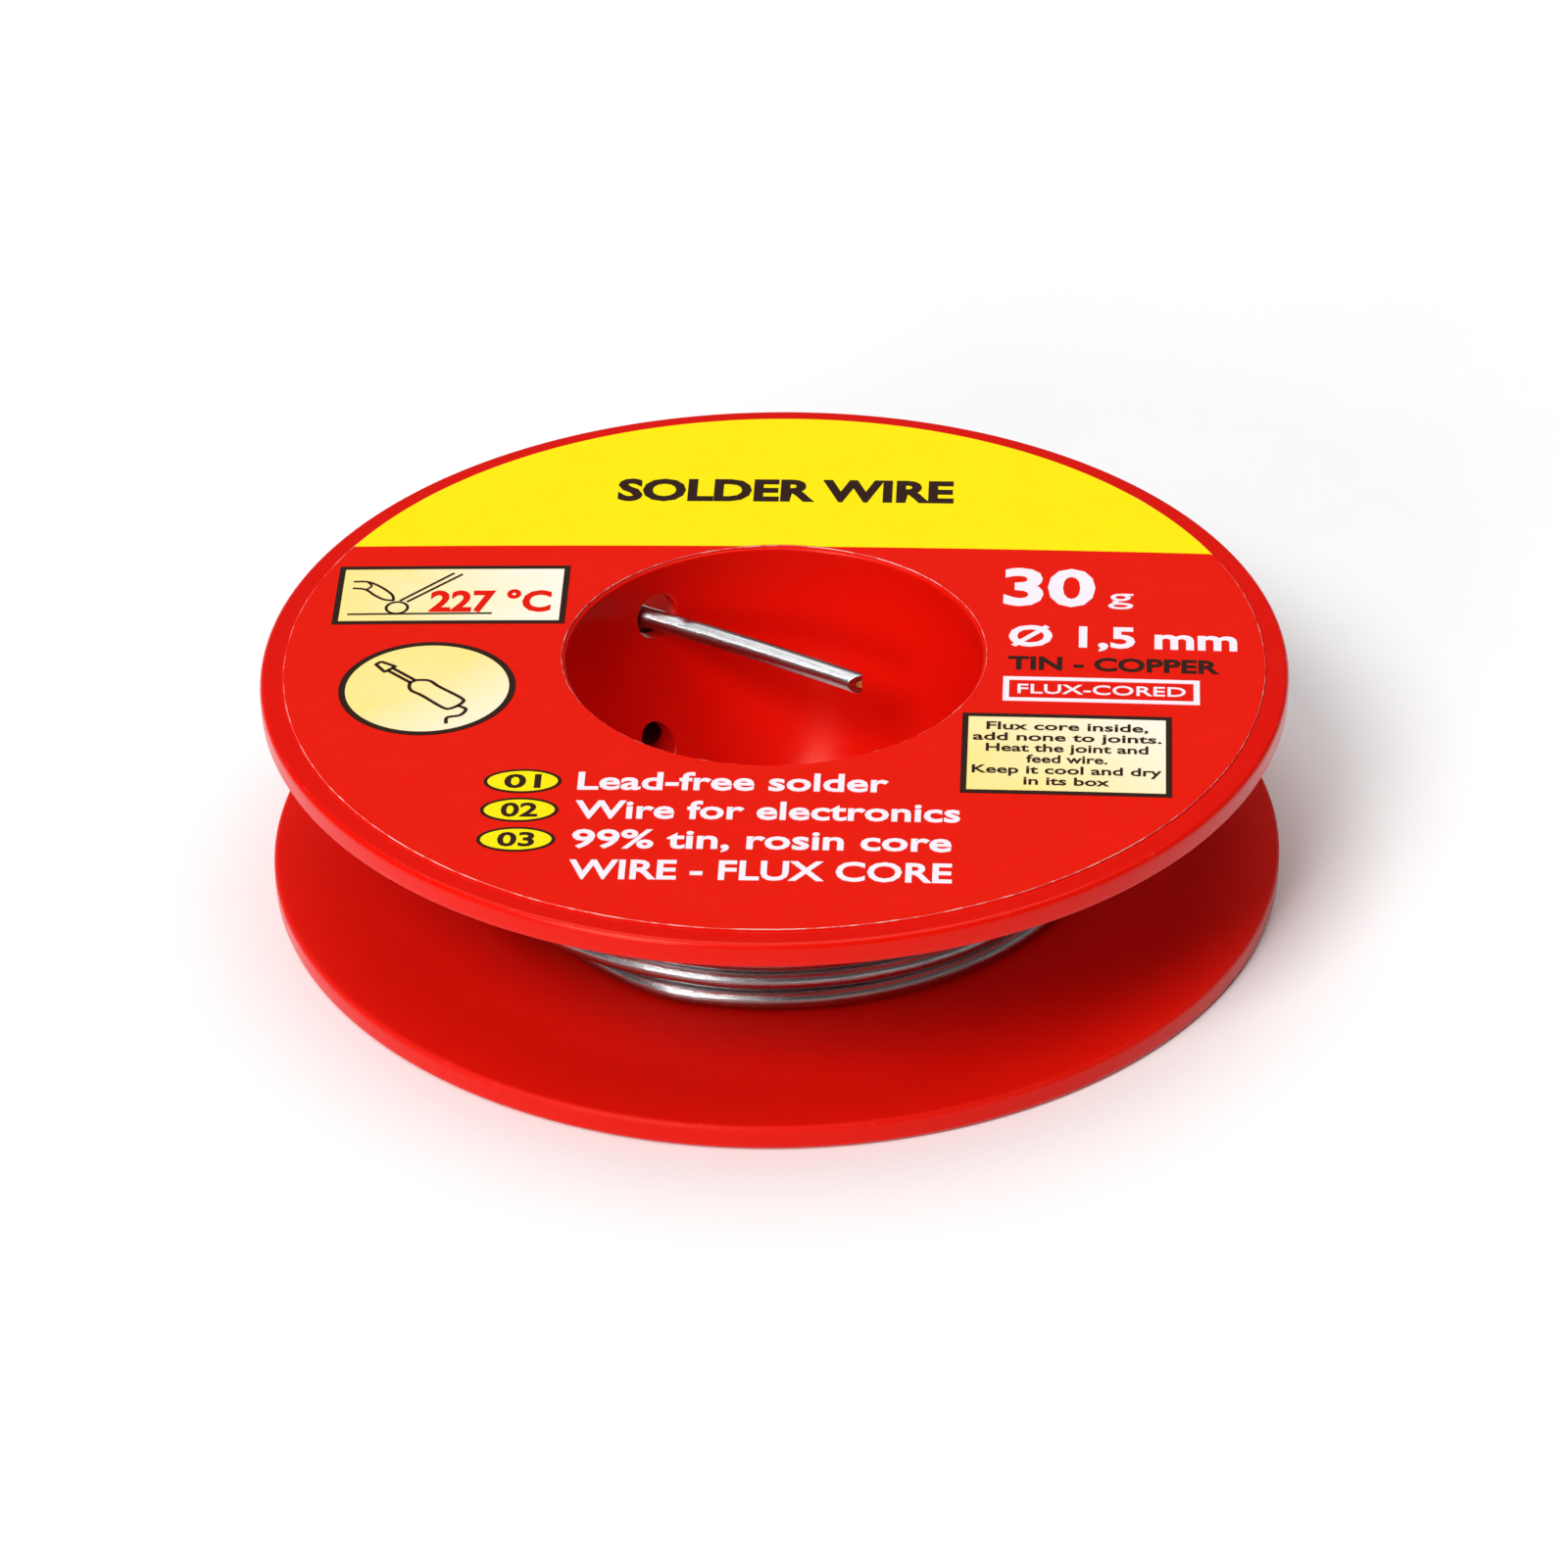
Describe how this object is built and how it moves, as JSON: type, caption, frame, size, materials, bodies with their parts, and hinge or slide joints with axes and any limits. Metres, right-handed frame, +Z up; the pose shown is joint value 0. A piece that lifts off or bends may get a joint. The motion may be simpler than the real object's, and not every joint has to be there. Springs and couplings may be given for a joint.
{
  "type": "solder wire spool",
  "caption": "Small flanged plastic spool wound with flux-cored solder wire, its start tail poked through the hub into the bore, for electronics soldering.",
  "frame": {"origin": "centre of the spool's underside", "axes": "+Z up along the spool's axis; the start tail leaves the hub at 126 degrees from +X and points to +X and -Y"},
  "size_m": [0.071, 0.071, 0.0163],
  "materials": {
    "red_plastic": "semi-gloss injection moulding, fine grain on the inner faces",
    "label_paper": "coated printed paper in red and yellow",
    "solder_alloy": "drawn tin-copper wire, bright with lengthwise die lines",
    "flux_rosin": "amber rosin"
  },
  "bodies": {
    "spool": {"spool_body": "red_plastic", "front_label": "label_paper", "wire_lead_in": "solder_alloy", "wire_layer_1": "solder_alloy", "wire_layer_2": "solder_alloy", "wire_layer_3": "solder_alloy", "wire_layer_4": "solder_alloy", "wire_layer_5": "solder_alloy", "wire_layer_6": "solder_alloy"},
    "tail": {"wire_tail": "solder_alloy", "tail_flux_core": "flux_rosin"},
    "free_end": {"wire_free_end": "solder_alloy", "free_end_flux_core": "flux_rosin"}
  },
  "joints": [
    {"name": "tail_lift", "type": "hinge", "parent": "spool", "child": "tail", "pos_m": [-0.00831, 0.01107, 0.01228], "axis": [-0.4821, -0.8761, 0], "range_deg": [-35, 60]},
    {"name": "free_end_peel", "type": "hinge", "parent": "spool", "child": "free_end", "pos_m": [0.01949, 0.01125, 0.00585], "axis": [0, 0, -1], "range_deg": [0, 70]}
  ]
}
